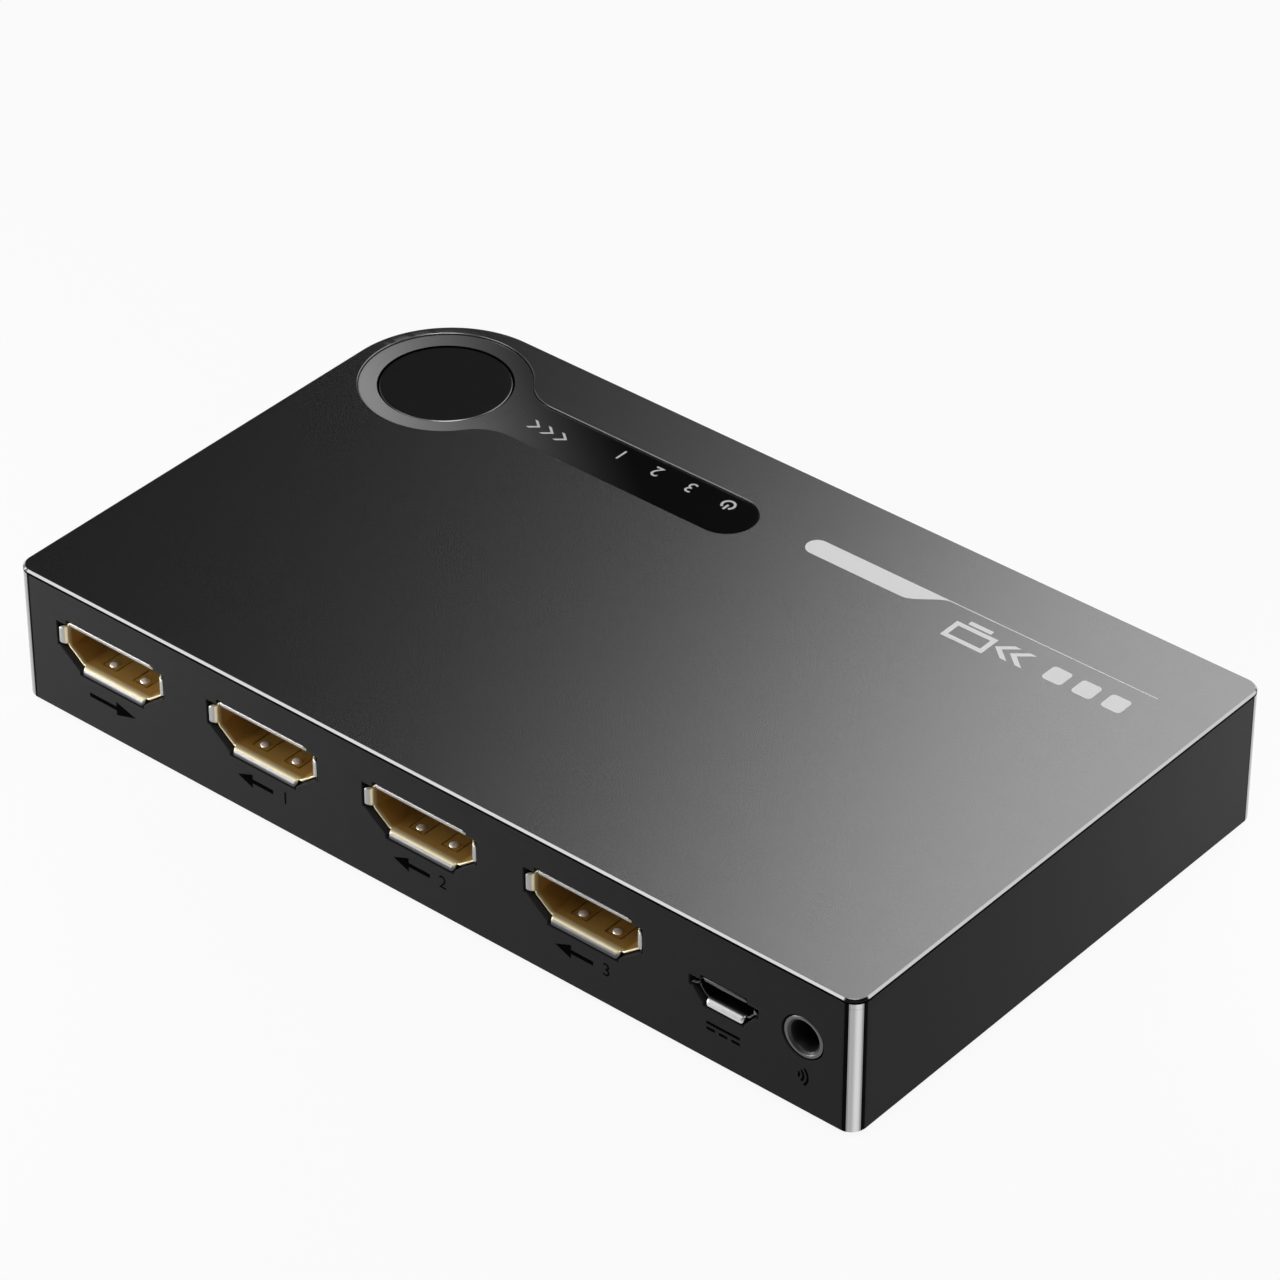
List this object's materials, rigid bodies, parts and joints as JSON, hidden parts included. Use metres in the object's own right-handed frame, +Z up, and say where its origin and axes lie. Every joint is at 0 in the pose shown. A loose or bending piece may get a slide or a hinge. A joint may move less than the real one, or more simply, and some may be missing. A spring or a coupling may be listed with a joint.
{
  "type": "hdmi switch box",
  "caption": "Flat black video switch box with a row of gold sockets, a power socket and an infrared jack on its port wall, and a round select button with an indicator strip on top.",
  "frame": {"origin": "on the standing surface, under the middle of the case", "axes": "+X along the port wall to the infrared jack, +Y from the port wall to the back, +Z up"},
  "size_m": [0.118, 0.07, 0.018],
  "materials": {
    "case_black": "fine satin moulding",
    "cover_gunmetal": "satin metallic coat with a bright cut edge",
    "panel_gloss": "polished",
    "button_black": "fine matt",
    "moulded_black": "plain moulding",
    "foot_rubber": "soft matt",
    "plated_steel": "bright plated sheet",
    "spring_steel": "bright spring sheet",
    "gold_plate": "bright gold plating",
    "collar_nickel": "satin nickel",
    "board_green": "glass-fibre laminate with a green mask",
    "chip_black": "moulded epoxy",
    "receiver_dark": "dark infrared filter epoxy",
    "lamp_clear": "clear epoxy",
    "guide_clear": "clear moulding",
    "can_aluminium": "drawn can",
    "capacitor_ceramic": "fired ceramic",
    "resistor_black": "glazed film"
  },
  "bodies": {
    "case": {"base_tray": "case_black", "top_cover": "cover_gunmetal", "case_screws": "plated_steel", "rubber_feet": "foot_rubber", "indicator_panel": "panel_gloss", "button_switch_base": "moulded_black", "button_switch_plate": "plated_steel", "button_switch_dome": "spring_steel", "button_switch_legs": "plated_steel", "main_board": "board_green", "output_socket_shell": "gold_plate", "output_socket_insulator": "moulded_black", "output_socket_contacts": "gold_plate", "input_1_socket_shell": "gold_plate", "input_1_socket_insulator": "moulded_black", "input_1_socket_contacts": "gold_plate", "input_2_socket_shell": "gold_plate", "input_2_socket_insulator": "moulded_black", "input_2_socket_contacts": "gold_plate", "input_3_socket_shell": "gold_plate", "input_3_socket_insulator": "moulded_black", "input_3_socket_contacts": "gold_plate", "power_socket_shell": "plated_steel", "power_socket_insulator": "moulded_black", "power_socket_contacts": "gold_plate", "infrared_jack_body": "moulded_black", "infrared_jack_collar": "collar_nickel", "infrared_jack_contacts": "plated_steel", "infrared_receiver": "receiver_dark", "infrared_receiver_leads": "plated_steel", "indicator_lamps": "lamp_clear", "light_guide": "guide_clear", "switch_chip": "chip_black", "switch_chip_leads": "plated_steel", "control_chip": "chip_black", "control_chip_leads": "plated_steel", "voltage_regulator": "chip_black", "voltage_regulator_leads": "plated_steel", "storage_capacitors": "can_aluminium", "storage_capacitor_bases": "moulded_black", "chip_capacitors": "capacitor_ceramic", "chip_resistors": "resistor_black", "surge_arrays": "chip_black"},
    "button": {"select_button": "button_black"},
    "plunger": {"button_switch_plunger": "moulded_black"}
  },
  "joints": [
    {"name": "button_press", "type": "slide", "parent": "case", "child": "button", "axis": [0, 0, -1], "range_m": [0, 0.0003], "stiffness_N_per_m": 1500, "springref_m": -0.0003},
    {"name": "plunger_press", "type": "slide", "parent": "case", "child": "plunger", "axis": [0, 0, -1], "range_m": [0, 0.0003], "deforming": ["button_switch_dome"]}
  ],
  "couplings": [
    {"joint": "plunger_press", "follows": "button_press", "ratio": 1}
  ]
}
